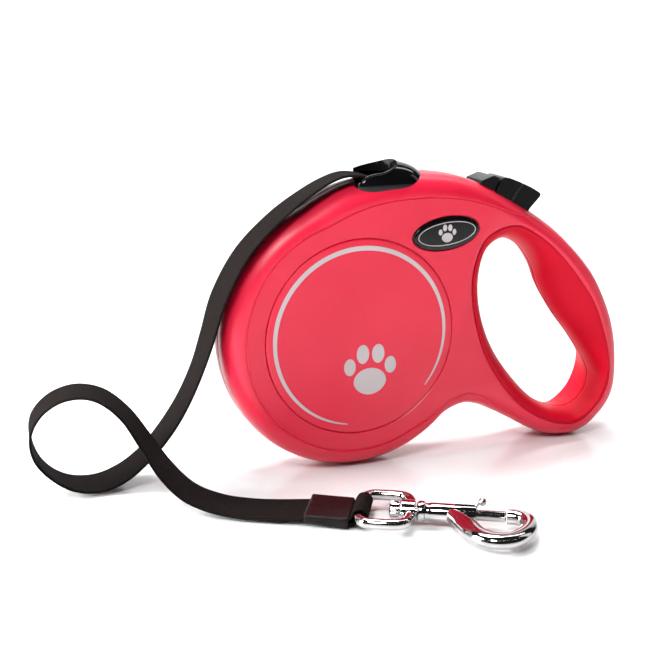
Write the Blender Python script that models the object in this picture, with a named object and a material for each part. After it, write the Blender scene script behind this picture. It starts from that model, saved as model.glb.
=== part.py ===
"""Retractable tape leash for a large dog, as an assembly of separate parts.

The case stands upright on the rim under its reel and on the foot of its handle.
+X runs from the reel to the handle, +Y from the front face to the rear, +Z up.
Shapes are drawn in millimetres, with X measured from the reel's axis, and
world() turns them into metres about the middle of the case's footprint.
"""
import math

import bmesh
import bpy
from mathutils import Matrix, Vector

MM = 0.001
GAP = 0.3                  # clearance between neighbouring pieces

# ---- driving dimensions, millimetres ----
REEL_X = -36.36            # reel axis, from the middle of the case
REEL_Z = 59.6
DISC_R = 59.3              # round end of the case
HALF_T = 13.8              # half thickness of the case at its flat faces
RIM_HALF = 3.2             # half width of the flat rim round the edge
WALL = 1.9                 # moulded wall, seen from the edge
INNER_HALF = 11.9          # half depth inside the case
CHAMBER_HALF = 11.6        # half depth of the round chamber for the reel
COVER_R = 42.4             # round face cover
COVER_T = 1.0
RECESS = 1.15              # depth of the seat for the cover and for the badge
TAPE_W = 20.0
TAPE_T = 1.0
COIL_IN, COIL_OUT = 36.4, 52.0
FLANGE_R, FLANGE_T = 53.2, 1.0
TOOTH_DEPTH, TEETH = 2.8, 12
AXLE_R = 3.2

# The brake sits on the sloping shoulder above the handle. It is drawn along the
# slope (t) and square to it (n), from a point on the case's edge.
SLOPE_X, SLOPE_Z = 75.8, 112.3
SLOPE = math.radians(-29.5)
LOCK_TRAVEL = 4.0
PAWL_PIVOT = (42.0, 101.8)
SPRING_T = 2.6             # place of the button's spring, along the slope

# The snap hook lies on the ground, and is drawn along its own axis (s) and
# across it (w); the bar of its eye is at s = EYE_BAR.
CLIP_X, CLIP_Y = -21.7, -62.7
CLIP_TURN = math.radians(-28.9)
CLIP_Z = 5.2               # height of the snap hook's axis
EYE_BAR = 2.7
BOLT_TRAVEL = 7.0

# ---- outlines, millimetres ----
ARC_START, ARC_END, ARC_STEP = 116.0, 308.0, 9.6     # degrees round the reel
ARC_FLANK = 8.5                                      # rounded flank on the arc

# Edge of the case from the end of the arc, along the underside, up the handle and
# back over the top: x, z and the width of the rounded flank there.
EDGE = [
    (43.6, 18.7, 8.8), (51.8, 21.4, 9), (59.3, 20.2, 8.5), (67.5, 16.4, 8),
    (76.3, 11.6, 8), (85.5, 6.1, 8), (94.5, 1.9, 8), (103.0, 0.25, 8),
    (110.5, 0.45, 8), (117.6, 3.3, 8), (123.1, 7.8, 8), (127.2, 12.4, 8),
    (130.3, 18.0, 8.3), (131.9, 25.9, 8.5), (131.5, 37.4, 8.5), (129.4, 50.0, 8.3),
    (124.6, 63.1, 8), (116.0, 78.2, 7.4), (103.5, 92.0, 7), (90.9, 102.6, 7),
    (75.7, 112.2, 7.2), (62.3, 119.4, 8), (49.4, 124.5, 9), (35.0, 126.9, 9),
    (20.0, 127.1, 9), (5.0, 125.4, 9), (-9.0, 121.8, 9),
]

# Finger opening: its edge on the parting plane, then its wider edge on the face.
OPENING = [
    (70, 95.7, 71.5, 102.1), (61.5, 90.4, 58.7, 97.2), (59, 78.7, 53.1, 80.7),
    (60.6, 63.7, 55, 62.7), (67.7, 46.2, 61.5, 43.7), (80, 29.2, 74, 25.9),
    (93, 17.1, 88, 14.4), (108, 11.7, 105.5, 8.9), (118, 16.5, 117, 15.1),
    (121.5, 25.2, 122.8, 26.7), (118.6, 34.3, 122.8, 39.7), (109.9, 46.7, 118.8, 53.7),
    (100.5, 58.4, 113.2, 66.2), (92, 71.7, 103.4, 79.1), (88.2, 81.7, 92.8, 90.1),
    (81, 91.5, 81.6, 98.3),
]
OPENING_SWEEP = math.radians(65)      # how far the opening's rounding turns
GRIP_T = 1.3                          # soft grip lining in the opening

# Free tape from the outlet to the sleeve: x, y, z of its middle, then how far its
# width is turned from +Y toward +X and how far it dips, in degrees.
TAPE_ROUTE = [
    (6.5, 0, 126.2, 0, 0), (-0.5, -0.2, 127.3, 0, -2), (-8, -0.6, 126.4, 0, -6),
    (-18, -1.4, 122.1, 0, -6), (-33, -2.7, 112.6, -1, -4), (-48.6, -3.5, 98, -1, -2),
    (-59, -3.1, 79.8, -1, 1), (-64.4, -0.9, 61.4, 2, 6), (-68.9, 1.6, 46.8, 6, 9),
    (-74.8, 3.9, 33.1, 6, 7), (-82.4, 5.1, 21.3, 4, 3), (-90.9, 5.5, 11.9, 3, 0),
    (-100.4, 5.5, 5.1, 1, 0), (-111.1, 5.1, 1.9, -2, 0), (-122.5, 4.3, 4, -5, 1),
    (-131.9, 3.1, 11.4, -4, 4), (-137.4, 1.6, 21.8, 3, 9), (-137.6, -0.4, 32.7, 9, 10),
    (-131.8, -3, 41.7, 16, 7), (-122.1, -6.8, 46.9, 20, 1), (-111.6, -10.9, 46, 21, -5),
    (-102.4, -15.3, 38.6, 21, -7), (-95.4, -19.4, 27.4, 23, -5), (-88.8, -23.6, 16.1, 26, -3),
    (-80.7, -29, 7.3, 27, -3), (-70.7, -35.4, 3.2, 27, -2), (-60.4, -41.5, 2.0, 28, -1),
    (-50.4, -47.1, 2.1, 29, 0), (-38.6, -53.6, 3.1, 29, 0),
]

COLOURS = {                # base colour, roughness, metallic
    "case_red": ((0.72, 0.02, 0.045), 0.32, 0.0),
    "grip_red": ((0.55, 0.01, 0.03), 0.45, 0.0),
    "gloss_black": ((0.008, 0.008, 0.009), 0.08, 0.0),
    "satin_black": ((0.015, 0.015, 0.016), 0.38, 0.0),
    "tape_webbing": ((0.03, 0.024, 0.022), 0.75, 0.0),
    "sleeve_vinyl": ((0.022, 0.013, 0.012), 0.45, 0.0),
    "chrome": ((0.86, 0.86, 0.87), 0.08, 1.0),
    "steel": ((0.6, 0.6, 0.62), 0.3, 1.0),
    "reel_nylon": ((0.75, 0.74, 0.7), 0.45, 0.0),
    "foot_rubber": ((0.02, 0.02, 0.02), 0.8, 0.0),
}


# ---- placing and mesh helpers ----
def world(x, y, z):
    """Case millimetres, with X from the reel's axis, to metres in the part's frame."""
    return Vector(((x + REEL_X) * MM, y * MM, z * MM))


def slope(t, n):
    """A point on the shoulder, along it and square to it, as case x and z."""
    return (SLOPE_X + t * math.cos(SLOPE) - n * math.sin(SLOPE),
            SLOPE_Z + t * math.sin(SLOPE) + n * math.cos(SLOPE))


def clip(s, w, z):
    """A point on the snap hook, along its axis, across it and above it, as x, y, z."""
    return (CLIP_X + s * math.cos(CLIP_TURN) - w * math.sin(CLIP_TURN),
            CLIP_Y + s * math.sin(CLIP_TURN) + w * math.cos(CLIP_TURN),
            CLIP_Z + z)


def spline(points, steps, closed):
    """Catmull-Rom samples through the points; an open run leaves out its two ends."""
    count = len(points)
    spans = range(count) if closed else range(1, count - 2)
    out = []
    for i in spans:
        a, b, c, d = (points[(i + k) % count] for k in (-1, 0, 1, 2))
        for step in range(steps):
            u = step / steps
            out.append(tuple(
                0.5 * (2 * q + (r - p) * u + (2 * p - 5 * q + 4 * r - s) * u * u
                       + (3 * q - p - 3 * r + s) * u ** 3)
                for p, q, r, s in zip(a, b, c, d)))
    if not closed:
        out.append(tuple(points[count - 2]))
    return out


def material(name):
    """The named finish, made once."""
    found = bpy.data.materials.get(name)
    if found:
        return found
    colour, rough, metal = COLOURS[name]
    made = bpy.data.materials.new(name)
    made.use_nodes = True
    shader = made.node_tree.nodes["Principled BSDF"]
    shader.inputs["Base Color"].default_value = (*colour, 1)
    shader.inputs["Roughness"].default_value = rough
    shader.inputs["Metallic"].default_value = metal
    made.diffuse_color = (*colour, 1)
    return made


def solid(name, verts, faces, finish="steel", smooth=40):
    """A closed mesh object from case millimetres."""
    mesh = bpy.data.meshes.new(name)
    mesh.from_pydata([world(*v) for v in verts], [], faces)
    shape = bmesh.new()
    shape.from_mesh(mesh)
    bmesh.ops.recalc_face_normals(shape, faces=shape.faces)
    shape.to_mesh(mesh)
    shape.free()
    mesh.shade_smooth()
    mesh.set_sharp_from_angle(angle=math.radians(smooth))
    mesh.materials.append(material(finish))
    made = bpy.data.objects.new(name, mesh)
    bpy.context.scene.collection.objects.link(made)
    return made


def loft(name, rings, finish="steel", closed=False):
    """Skin over rings of equal length; open lofts are capped at both ends."""
    size = len(rings[0])
    verts = [point for ring in rings for point in ring]
    faces = []
    spans = len(rings) if closed else len(rings) - 1
    for i in range(spans):
        low, high = i * size, ((i + 1) % len(rings)) * size
        for j in range(size):
            k = (j + 1) % size
            faces.append((low + j, low + k, high + k, high + j))
    if not closed:
        faces.append(tuple(range(size)))
        faces.append(tuple(reversed(range((len(rings) - 1) * size, len(rings) * size))))
    return solid(name, verts, faces, finish)


def prism(name, outline, y0, y1, finish="steel"):
    """An outline of case x and z, extruded from y0 to y1."""
    return loft(name, [[(x, y, z) for x, z in outline] for y in (y0, y1)], finish)


def disc(name, centre, radius, y0, y1, finish="steel", sides=24):
    """A round bar along Y."""
    ring = [(centre[0] + radius * math.cos(a), centre[1] + radius * math.sin(a))
            for a in (2 * math.pi * k / sides for k in range(sides))]
    return prism(name, ring, y0, y1, finish)


def turned(name, profile, finish="steel", sides=48, centre=(0.0, REEL_Z)):
    """A closed profile of radius and y, turned about an axis along Y."""
    rings = []
    for k in range(sides):
        a = 2 * math.pi * k / sides
        rings.append([(centre[0] + r * math.cos(a), y, centre[1] + r * math.sin(a))
                      for r, y in profile])
    return loft(name, rings, finish, closed=True)


def bar(name, start, end, radius, finish="steel", sides=12):
    """A round bar between two points."""
    start, end = Vector(start), Vector(end)
    axis = (end - start).normalized()
    side = axis.orthogonal().normalized()
    other = axis.cross(side)
    rings = []
    for middle in (start, end):
        rings.append([tuple(middle + radius * (math.cos(a) * side + math.sin(a) * other))
                      for a in (2 * math.pi * k / sides for k in range(sides))])
    return loft(name, rings, finish)


def tube(name, route, radius, finish="steel", sides=8, closed=False):
    """A round rod swept along a route, with its turns kept steady."""
    points = [Vector(p) for p in route]
    count = len(points)
    rings = []
    normal = None
    for i, here in enumerate(points):
        ahead = points[(i + 1) % count] if closed else points[min(i + 1, count - 1)]
        behind = points[i - 1] if closed or i else here
        along = (ahead - behind).normalized()
        normal = along.orthogonal() if normal is None else normal - along * normal.dot(along)
        normal.normalize()
        other = along.cross(normal)
        rings.append([tuple(here + radius * (math.cos(a) * normal + math.sin(a) * other))
                      for a in (2 * math.pi * k / sides for k in range(sides))])
    return loft(name, rings, finish, closed)


def strap(name, stations, width, thick, finish):
    """A flat strip through stations of (middle, width direction)."""
    rings = []
    last = len(stations) - 1
    for i, (middle, across) in enumerate(stations):
        along = stations[min(i + 1, last)][0] - stations[max(i - 1, 0)][0]
        across = (across - along * across.dot(along) / along.length_squared).normalized()
        up = along.normalized().cross(across)
        rings.append([tuple(middle + a * width / 2 * across + b * thick / 2 * up)
                      for a, b in ((-1, -1), (1, -1), (1, 1), (-1, 1))])
    return loft(name, rings, finish)


def combine(target, tool, operation="DIFFERENCE"):
    """Cut the tool from the target, or join it on, and drop the tool."""
    step = target.modifiers.new(operation.lower(), "BOOLEAN")
    step.operation = operation
    step.object = tool
    bpy.context.view_layer.update()
    graph = bpy.context.evaluated_depsgraph_get()
    result = bpy.data.meshes.new_from_object(target.evaluated_get(graph))
    target.modifiers.clear()
    old = target.data
    target.data = result
    bpy.data.meshes.remove(old)
    bpy.data.objects.remove(tool)
    while len(result.materials) > 1:
        result.materials.pop()
    return target


def join_on(target, *tools):
    for tool in tools:
        combine(target, tool, "UNION")
    return target


def cut_from(target, *tools):
    for tool in tools:
        combine(target, tool)
    return target


def pivot(name, point, parent=None):
    """An empty on a joint's axis, for the pieces that move with it."""
    empty = bpy.data.objects.new(name, None)
    bpy.context.scene.collection.objects.link(empty)
    if parent:
        empty.parent = parent
        empty.location = point - parent_place(parent)
    else:
        empty.location = point
    empty["place"] = tuple(point)
    return empty


def parent_place(empty):
    return Vector(empty["place"])


def hang(parent, *pieces):
    """Move the pieces' origins onto the joint's empty and parent them to it."""
    place = parent_place(parent)
    for piece in pieces:
        piece.data.transform(Matrix.Translation(-place))
        piece.parent = parent
    return pieces


# ---- case outlines ----
def edge_line():
    """The case's edge as (x, z, flank), with the arc round the reel worked out."""
    arc = []
    steps = round((ARC_END - ARC_START) / ARC_STEP)
    for k in range(steps + 1):
        a = math.radians(ARC_START + k * ARC_STEP)
        arc.append((DISC_R * math.cos(a), REEL_Z + DISC_R * math.sin(a), ARC_FLANK))
    rest = spline([arc[-2], arc[-1]] + EDGE + [arc[0], arc[1]], 2, False)
    return arc[:-1] + rest[:-1]


def inset(line, distance):
    """The edge moved into the case, by a distance or by a share of the flank."""
    count = len(line)
    out = []
    for i, (x, z, flank) in enumerate(line):
        before, after = line[i - 1], line[(i + 1) % count]
        dx, dz = after[0] - before[0], after[1] - before[1]
        size = math.hypot(dx, dz)
        step = distance(flank)
        out.append((x - dz / size * step, z + dx / size * step))
    return out


def flank_depth(flank, y):
    """How far the rounded flank has come in at a distance y from the parting plane."""
    past = max(0.0, min(1.0, (y - RIM_HALF) / (HALF_T - RIM_HALF)))
    return flank * (1 - math.sqrt(1 - past * past))


def case_block(name, side, grow=0.0, finish="case_red", start=GAP / 2):
    """Outer form of one half of the case, side -1 for the front and +1 for the rear."""
    line = edge_line()
    levels = [start, RIM_HALF]
    for k in (1, 2, 3):
        levels.append(RIM_HALF + (HALF_T - RIM_HALF) * math.sin(math.radians(30 * k)))
    rings = []
    for y in levels:
        ring = inset(line, lambda flank: flank_depth(flank, y) - grow)
        rings.append([(x, side * y, z) for x, z in ring])
    if grow > 0:
        rings.append([(x, side * (HALF_T + grow), z) for x, _, z in rings[-1]])
    return loft(name, rings, finish)


def case_hollow(name, side):
    """Inside of one half, a wall's thickness from the outside."""
    line = edge_line()[::2]
    rings = []
    for y in (-1.0, 5.0, 9.0, INNER_HALF):
        ring = inset(line, lambda flank: flank_depth(flank, y + 1.2) + WALL)
        rings.append([(x, side * y, z) for x, z in ring])
    return loft(name, rings)


def opening_ring(y, grow):
    """Finger opening at a distance y from the parting plane, grown into the case."""
    turn = math.asin(min(1.0, max(0.0, y) / HALF_T) * math.sin(OPENING_SWEEP))
    share = (1 - math.cos(turn)) / (1 - math.cos(OPENING_SWEEP))
    line = [(a + (c - a) * share, b + (d - b) * share) for a, b, c, d in OPENING]
    ring = spline(line, 2, True)
    out = []
    for i, (x, z) in enumerate(ring):
        before, after = ring[i - 1], ring[(i + 1) % len(ring)]
        dx, dz = after[0] - before[0], after[1] - before[1]
        size = math.hypot(dx, dz)
        out.append((x + dz / size * grow, z - dx / size * grow))
    return out


def opening_block(name, side, grow, finish="grip_red", inner=-1.0, outer=HALF_T + 1):
    """A plug of the finger opening on one side of the parting plane."""
    levels = [inner, 3.0, 6.5, 10.0, HALF_T - 1.2, HALF_T - 0.2]
    if outer > HALF_T:
        levels.append(outer)
    rings = [[(x, side * y, z) for x, z in opening_ring(y, grow)] for y in levels]
    return loft(name, rings, finish)


# ---- case ----
SCREWS = [(52.5, 32.0), (107.2, 83.1), (127.4, 25.2), (33.5, 116.9)]
SCREW_BOSS_R, SCREW_R, HEAD_R = 3.0, 1.1, 2.3
HEAD_Y = 9.0                                    # under side of the screw heads
BADGE = (38.7, 101.9, 15.5, 7.0, math.radians(6))
FOOT = (-7.0, 2.0, 3.6, 2.2)                    # x from, x to, half width, height


def oval(grow=0.0, sides=32):
    x, z, long, short, tilt = BADGE
    out = []
    for k in range(sides):
        a = 2 * math.pi * k / sides
        u, v = (long + grow) * math.cos(a), (short + grow) * math.sin(a)
        out.append((x + u * math.cos(tilt) - v * math.sin(tilt),
                    z + u * math.sin(tilt) + v * math.cos(tilt)))
    return out


def tape_slot(name, half_width):
    """Way out for the tape through the top of the case."""
    outline = [(4.2, 118.5), (19.0, 118.5), (19.0, 136.0), (4.2, 136.0)]
    return prism(name, outline, -half_width, half_width)


def shell(name, side):
    """One half of the case with its seats, bosses and ways through."""
    body = case_block(name, side)
    hollow = case_hollow("hollow", side)
    cut_from(hollow, opening_block("opening_wall", side, GRIP_T + GAP + WALL))
    cut_from(body, hollow,
             disc("reel_chamber", (0, REEL_Z), FLANGE_R + 0.5, -side, side * CHAMBER_HALF,
                  sides=72))
    for x, z in SCREWS:
        boss = disc("boss", (x, z), SCREW_BOSS_R, side * GAP / 2, side * (INNER_HALF + 0.4),
                    sides=16)
        combine(boss, case_block("boss_form", side, -GAP, start=-1.0), "INTERSECT")
        join_on(body, boss)
    seat = [(72.0, 96.0), (78.8, 94.0), (78.8, 101.4), (72.0, 102.1)]
    join_on(body, prism("spring_seat_block", seat, side * GAP / 2, side * (INNER_HALF + 0.4)))
    join_on(body, disc("pawl_boss", PAWL_PIVOT, 2.6, side * (INNER_HALF - 0.3),
                       side * (INNER_HALF + 0.4), sides=12))
    face = side * (HALF_T - RECESS)
    out = side * (HALF_T + 2)
    cut_from(body, opening_block("opening_cut", side, GRIP_T + 1.5 * GAP),
             disc("cover_seat", (0, REEL_Z), COVER_R + GAP, face, out, sides=48),
             prism("badge_seat", oval(GAP), face, out),
             disc("axle_hole", (0, REEL_Z), AXLE_R + GAP, side * 5, out, sides=20),
             tape_slot("tape_way", TAPE_W / 2 + 1.4),
             brake_way("brake_way"), lock_way("lock_way"),
             foot_block("foot_seat", GAP))
    for x, z in SCREWS:
        if side < 0:
            cut_from(body, disc("screw_hole", (x, z), SCREW_R + GAP, -10, 1, sides=12))
        else:
            cut_from(body,
                     disc("screw_way", (x, z), SCREW_R + GAP, -1, HEAD_Y + 1, sides=12),
                     disc("head_way", (x, z), HEAD_R + GAP + 0.2, HEAD_Y, HALF_T + 2,
                          sides=16))
    cut_from(body, disc("pawl_pin_hole", PAWL_PIVOT, 1.0 + GAP, side * 8,
                        side * (INNER_HALF + 0.3), sides=12))
    return body


def foot_block(name, grow=0.0, finish="foot_rubber"):
    x0, x1, half, height = FOOT
    outline = [(x0 - grow, -grow), (x1 + grow, -grow), (x1 + grow, height + grow),
               (x0 - grow, height + grow)]
    return prism(name, outline, -half - grow, half + grow, finish)


def build_case():
    shell("front_shell", -1)
    shell("rear_shell", 1)
    for name, side in (("front", -1), ("rear", 1)):
        liner = opening_block(f"{name}_handle_grip", side, GRIP_T, "grip_red",
                              GAP / 2, HALF_T - 0.2)
        cut_from(liner, opening_block("finger_opening", side, 0.0))
        floor_y = side * (HALF_T - RECESS + GAP)
        face_y = floor_y + side * COVER_T
        turned(f"{name}_face_cover",
               [(0.01, floor_y), (COVER_R, floor_y), (COVER_R, face_y - side * 0.3),
                (COVER_R - 0.4, face_y), (0.01, face_y)], "case_red", 48)
        dome = []
        for level, shrink in ((0.0, 0.0), (0.9, 0.0), (1.4, -0.8), (1.7, -2.2)):
            dome.append([(x, floor_y + side * level, z) for x, z in oval(shrink)])
        loft(f"{name}_badge", dome, "gloss_black")
    foot_block("rest_foot")
    for number, (x, z) in enumerate(SCREWS, 1):
        head = disc(f"case_screw_{number}", (x, z), HEAD_R, HEAD_Y + GAP, HEAD_Y + 2.2,
                    "steel", 16)
        join_on(head, disc("shank", (x, z), SCREW_R, -8, HEAD_Y + 1, sides=12))
    disc("axle", (0, REEL_Z), AXLE_R, GAP - HALF_T + RECESS, HALF_T - RECESS - GAP,
         "steel", 20)


# ---- outlet for the tape ----
# Hood: middle x and z, reach toward the reel and toward the handle, half width, height.
HOOD = (16.8, 123.1, 18.4, 15.6, 12.8, 9.2)
HOOD_BLUNT, HOOD_ROUND = 0.4, 0.85      # how square its plan is at either end
MOUTH = [                               # edge of the mouth, as x and y
    (-1.0, -10.6), (4.0, -10.6), (9.0, -10.7), (12.2, -10.2), (15.2, -8.9),
    (17.7, -6.9), (19.2, -4.2), (19.7, -1.2), (19.4, 1.8), (18.3, 4.6), (16.2, 6.8),
    (13.2, 8.4), (9.6, 9.6), (5.6, 10.5), (2.0, 10.6), (-1.0, 10.6),
]


def hood_share(x, y):
    """Where a point lies in the hood's plan: 0 on its middle, 1 on its rim."""
    long, power = (HOOD[2], HOOD_BLUNT) if x < HOOD[0] else (HOOD[3], HOOD_ROUND)
    u, v = abs(x - HOOD[0]) / long, abs(y) / HOOD[4]
    return (u ** (2 / power) + v ** (2 / power)) ** (power / 2)


def build_outlet():
    """Glossy hood over the slot, open at its mouth on the top and toward the reel."""
    centre_x, centre_z, left, right, half, high = HOOD
    rings = []
    for k in range(1, 12):
        up = math.pi * (k / 12 - 0.5)
        ring = []
        for j in range(40):
            a = 2 * math.pi * j / 40
            ca, sa = math.cos(a), math.sin(a)
            long, square = (left, HOOD_BLUNT) if ca < 0 else (right, HOOD_ROUND)
            ring.append((centre_x + long * math.cos(up) * math.copysign(abs(ca) ** square, ca),
                         half * math.cos(up) * math.copysign(abs(sa) ** square, sa),
                         centre_z + high * math.sin(up)))
        rings.append(ring)
    hood = loft("tape_outlet", rings, "gloss_black")
    lip = spline([MOUTH[0]] + MOUTH + [MOUTH[-1]], 2, False)
    rim = [(x, y, centre_z + high * math.sqrt(max(0.0, 1 - hood_share(x, y) ** 2)))
           for x, y in lip if hood_share(x, y) < 0.965]
    join_on(hood, tube("rim", rim, 0.55, sides=8))
    plan = [(-12, -10.6)] + lip + [(-12, 10.6)]
    cut_from(hood,
             loft("mouth", [[(x, y, z) for x, y in plan] for z in (125.2, 140)]),
             prism("slot", [(5.7, 118.5), (17.5, 118.5), (17.5, 127.0), (5.7, 127.0)],
                   -10.6, 10.6),
             loft("slant", [[(x, y, z) for x, y in ((-9, -14), (-3.5, -14), (6.5, 14), (-9, 14))]
                            for z in (115, 140)]))
    for side in (-1, 1):
        cut_from(hood, case_block("case_form", side, GAP, start=-1.0))
    for side in (-1, 1):
        join_on(hood, prism("skirt", [(5.0, 119.5), (18.2, 119.5), (18.2, 126.0), (5.0, 126.0)],
                            side * 10.55, side * 11.1))
    return hood


# ---- reel ----
def build_reel():
    """Drum and flanges on the axle, with the tape and its mainspring."""
    inner = TAPE_W / 2 + GAP
    outer = inner + FLANGE_T
    drum_in, drum_out = COIL_IN - GAP - 1.6, COIL_IN - GAP
    drum = turned("reel_drum", [
        (AXLE_R + GAP, -outer), (FLANGE_R, -outer), (FLANGE_R, -inner), (drum_out, -inner),
        (drum_out, inner - GAP), (drum_in, inner - GAP), (drum_in, -inner),
        (AXLE_R + GAP, -inner)], "reel_nylon")
    ratchet = turned("ratchet_flange", [
        (AXLE_R + GAP, inner), (FLANGE_R, inner), (FLANGE_R, outer), (AXLE_R + GAP, outer)],
        "reel_nylon", 72)
    first = math.radians(27.6)
    for k in range(TEETH):
        a = first + 2 * math.pi * k / TEETH
        notch = []
        for turn, radius in ((-6.6, FLANGE_R + 2), (-6.6, FLANGE_R - TOOTH_DEPTH),
                             (6.6, FLANGE_R - TOOTH_DEPTH), (10.0, FLANGE_R + 2)):
            b = a + math.radians(turn)
            notch.append((radius * math.cos(b), REEL_Z + radius * math.sin(b)))
        cut_from(ratchet, prism("notch", notch, inner - 1, outer + 1))
    half = TAPE_W / 2
    coil = turned("tape_coil", [(COIL_IN, -half), (COIL_OUT, -half), (COIL_OUT, half),
                                (COIL_IN, half)], "tape_webbing", 64)
    spring = []
    turns, start, end = 5, AXLE_R + 2.2, drum_in - 1.2
    count = turns * 14
    for i in range(count + 1):
        share = i / count
        a = 2 * math.pi * turns * share
        radius = start + (end - start) * share
        middle = Vector((radius * math.cos(a), 0, REEL_Z + radius * math.sin(a)))
        spring.append((middle, Vector((0, 1, 0))))
    mainspring = strap("mainspring", spring, 14.0, 0.5, "steel")
    axis = pivot("reel_axis", world(0, 0, REEL_Z))
    hang(axis, drum, ratchet, coil, mainspring)


# ---- brake ----
STEM = (-16.1, -13.8)                   # stem of the lock, along the slope


def brake_way(name):
    """Opening in the shoulder that the button sinks into."""
    outline = [slope(-12.3, -5), slope(7.2, -5), slope(8.7, 4), slope(-12.3, 4)]
    return prism(name, outline, -8.7, 8.7)


def lock_way(name):
    """Slot for the stem of the lock, hidden under its cap."""
    start, end = STEM[0] - LOCK_TRAVEL - 0.1, STEM[1] + 0.3
    outline = [slope(start, -4), slope(end, -4), slope(end, 4), slope(start, 4)]
    return prism(name, outline, -3.3, 3.3)


def build_brake():
    button = prism("brake_button", [
        slope(-11.9, -2.6), slope(6.6, -2.6), slope(6.9, 0.4), slope(8.6, 7.0),
        slope(8.5, 7.9), slope(7.8, 8.5), slope(3.0, 8.6), slope(-4.0, 8.1),
        slope(-8.6, 7.4), slope(-11.0, 6.5), slope(-11.9, 5.5)], -8.3, 8.3, "satin_black")
    for side in (-1, 1):
        cut_from(button, prism("waist", [slope(-13, -4), slope(-3.6, -4), slope(-1.6, 10),
                                         slope(-13, 10)], side * 7.6, side * 9))
    join_on(button, prism("stem", [slope(-5, -8.0), slope(-2, -8.0), slope(-2, 0),
                                   slope(-5, 0)], -4, 4))
    x, z = slope(SPRING_T, 0)
    base, top = slope(SPRING_T, -4), slope(SPRING_T, 1.5)
    cut_from(button, bar("spring_hole", (base[0], 0, base[1]), (top[0], 0, top[1]), 3.3))
    lock = prism("lock_slider", [
        slope(-20.3, -2.0), slope(-12.8, -2.0), slope(-12.8, 4.3), slope(-13.5, 5.0),
        slope(-15.7, 4.9), slope(-16.7, 4.4), slope(-20.3, 0.3)], -7.4, 7.4, "satin_black")
    for side in (-1, 1):
        cut_from(lock, case_block("case_form", side, GAP, start=-0.4))
    join_on(lock, prism("stem", [slope(STEM[0], -4.2), slope(STEM[1], -4.2),
                                 slope(STEM[1], 1.8), slope(STEM[0], 1.8)], -2.6, 2.6))
    spring = []
    turns = 4
    along = Vector((-math.sin(SLOPE), 0, math.cos(SLOPE)))
    side = Vector((math.cos(SLOPE), 0, math.sin(SLOPE)))
    base = Vector((x, 0, z)) - along * 8.3
    for i in range(turns * 8 + 1):
        a = 2 * math.pi * i / 8
        ring = side * math.cos(a) + Vector((0, 1, 0)) * math.sin(a)
        spring.append(base + along * (9.2 * i / (turns * 8)) + ring * 2.4)
    tube("brake_spring", spring, 0.35, "steel", 5)

    inner, outer = TAPE_W / 2 + GAP, TAPE_W / 2 + GAP + 1.2
    px, pz = PAWL_PIVOT
    pawl = disc("brake_pawl", PAWL_PIVOT, 2.8, -3, outer, "reel_nylon", 20)
    join_on(pawl, prism("arm", [(px - 1, pz + 2.3), (55, 105.4), (70, 105.9), (70, 103.3),
                                (55, 101.7), (px - 1, pz - 2.4)], -3, 3))
    join_on(pawl, prism("tooth", [(44.6, 103.3), (51.2, 94.8), (51.4, 84.4), (48.0, 83.4),
                                  (47.8, 86.2), (48.9, 90.8), (41.2, 99.4)],
                        inner, outer))
    cut_from(pawl, disc("pin_hole", PAWL_PIVOT, 1.0 + GAP, -5, outer + 2, sides=12))
    disc("pawl_pin", PAWL_PIVOT, 1.0, -INNER_HALF - 0.1, INNER_HALF + 0.1, "steel", 12)

    hang(pivot("brake_press_axis", world(*at(slope(0, 0)))), button)
    hang(pivot("lock_slide_axis", world(*at(slope(-17, 0)))), lock)
    hang(pivot("pawl_axis", world(*at(PAWL_PIVOT))), pawl)


def at(point):
    return point[0], 0.0, point[1]


# ---- tape ----
def width_direction(turn, dip):
    turn, dip = math.radians(turn), math.radians(dip)
    return Vector((math.sin(turn) * math.cos(dip), math.cos(turn) * math.cos(dip),
                   math.sin(dip)))


def build_tape():
    """The tape inside the case and the free tape as far as its sleeve."""
    route = [TAPE_ROUTE[0]] + TAPE_ROUTE + [TAPE_ROUTE[-1]]
    stations = [(Vector(p[:3]), width_direction(*p[3:])) for p in spline(route, 3, False)]
    strap("tape_free", stations, TAPE_W, TAPE_T, "tape_webbing")

    leave = math.radians(38.9)
    radius = COIL_OUT + GAP + TAPE_T / 2
    pin_x, pin_z, pin_r = 13.5, 121.0, 1.5
    bend = pin_r + GAP + TAPE_T / 2
    inside = [Vector((radius * math.cos(leave), 0, REEL_Z + radius * math.sin(leave)))]
    for degrees in (38.9, 52, 66, 80):
        a = math.radians(degrees)
        inside.append(Vector((pin_x + bend * math.cos(a), 0, pin_z + bend * math.sin(a))))
    inside.append(Vector((6.9, 0, 126.15)))
    strap("tape_inside", [(p, Vector((0, 1, 0))) for p in inside], TAPE_W, TAPE_T,
          "tape_webbing")
    disc("guide_pin", (pin_x, pin_z), pin_r, -TAPE_W / 2 - 0.2, TAPE_W / 2 + 0.2,
         "steel", 14)


# ---- sleeve and snap hook ----
LIFT = 1.8                              # rise of the sleeve toward the free tape
POST_S = 46.8                           # place of the bolt's thumb lever
CURL = [                                # middle of the curled arm, and its half width
    (37.5, -1.5, 2.6), (40.6, -5.4, 3.4), (44.2, -11.3, 4.3), (48.3, -18.2, 4.2),
    (54.2, -22.0, 4.0), (60.4, -20.9, 3.8), (65.2, -15.2, 3.5), (67.5, -8.4, 3.2),
    (66.6, -2.7, 3.2), (63.4, -0.1, 3.3), (59.2, 0.5, 3.3),
]


def lift(s):
    """How far the folded end rises toward the free tape."""
    return LIFT * max(0.0, -1.6 - s) / 17.4


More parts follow.
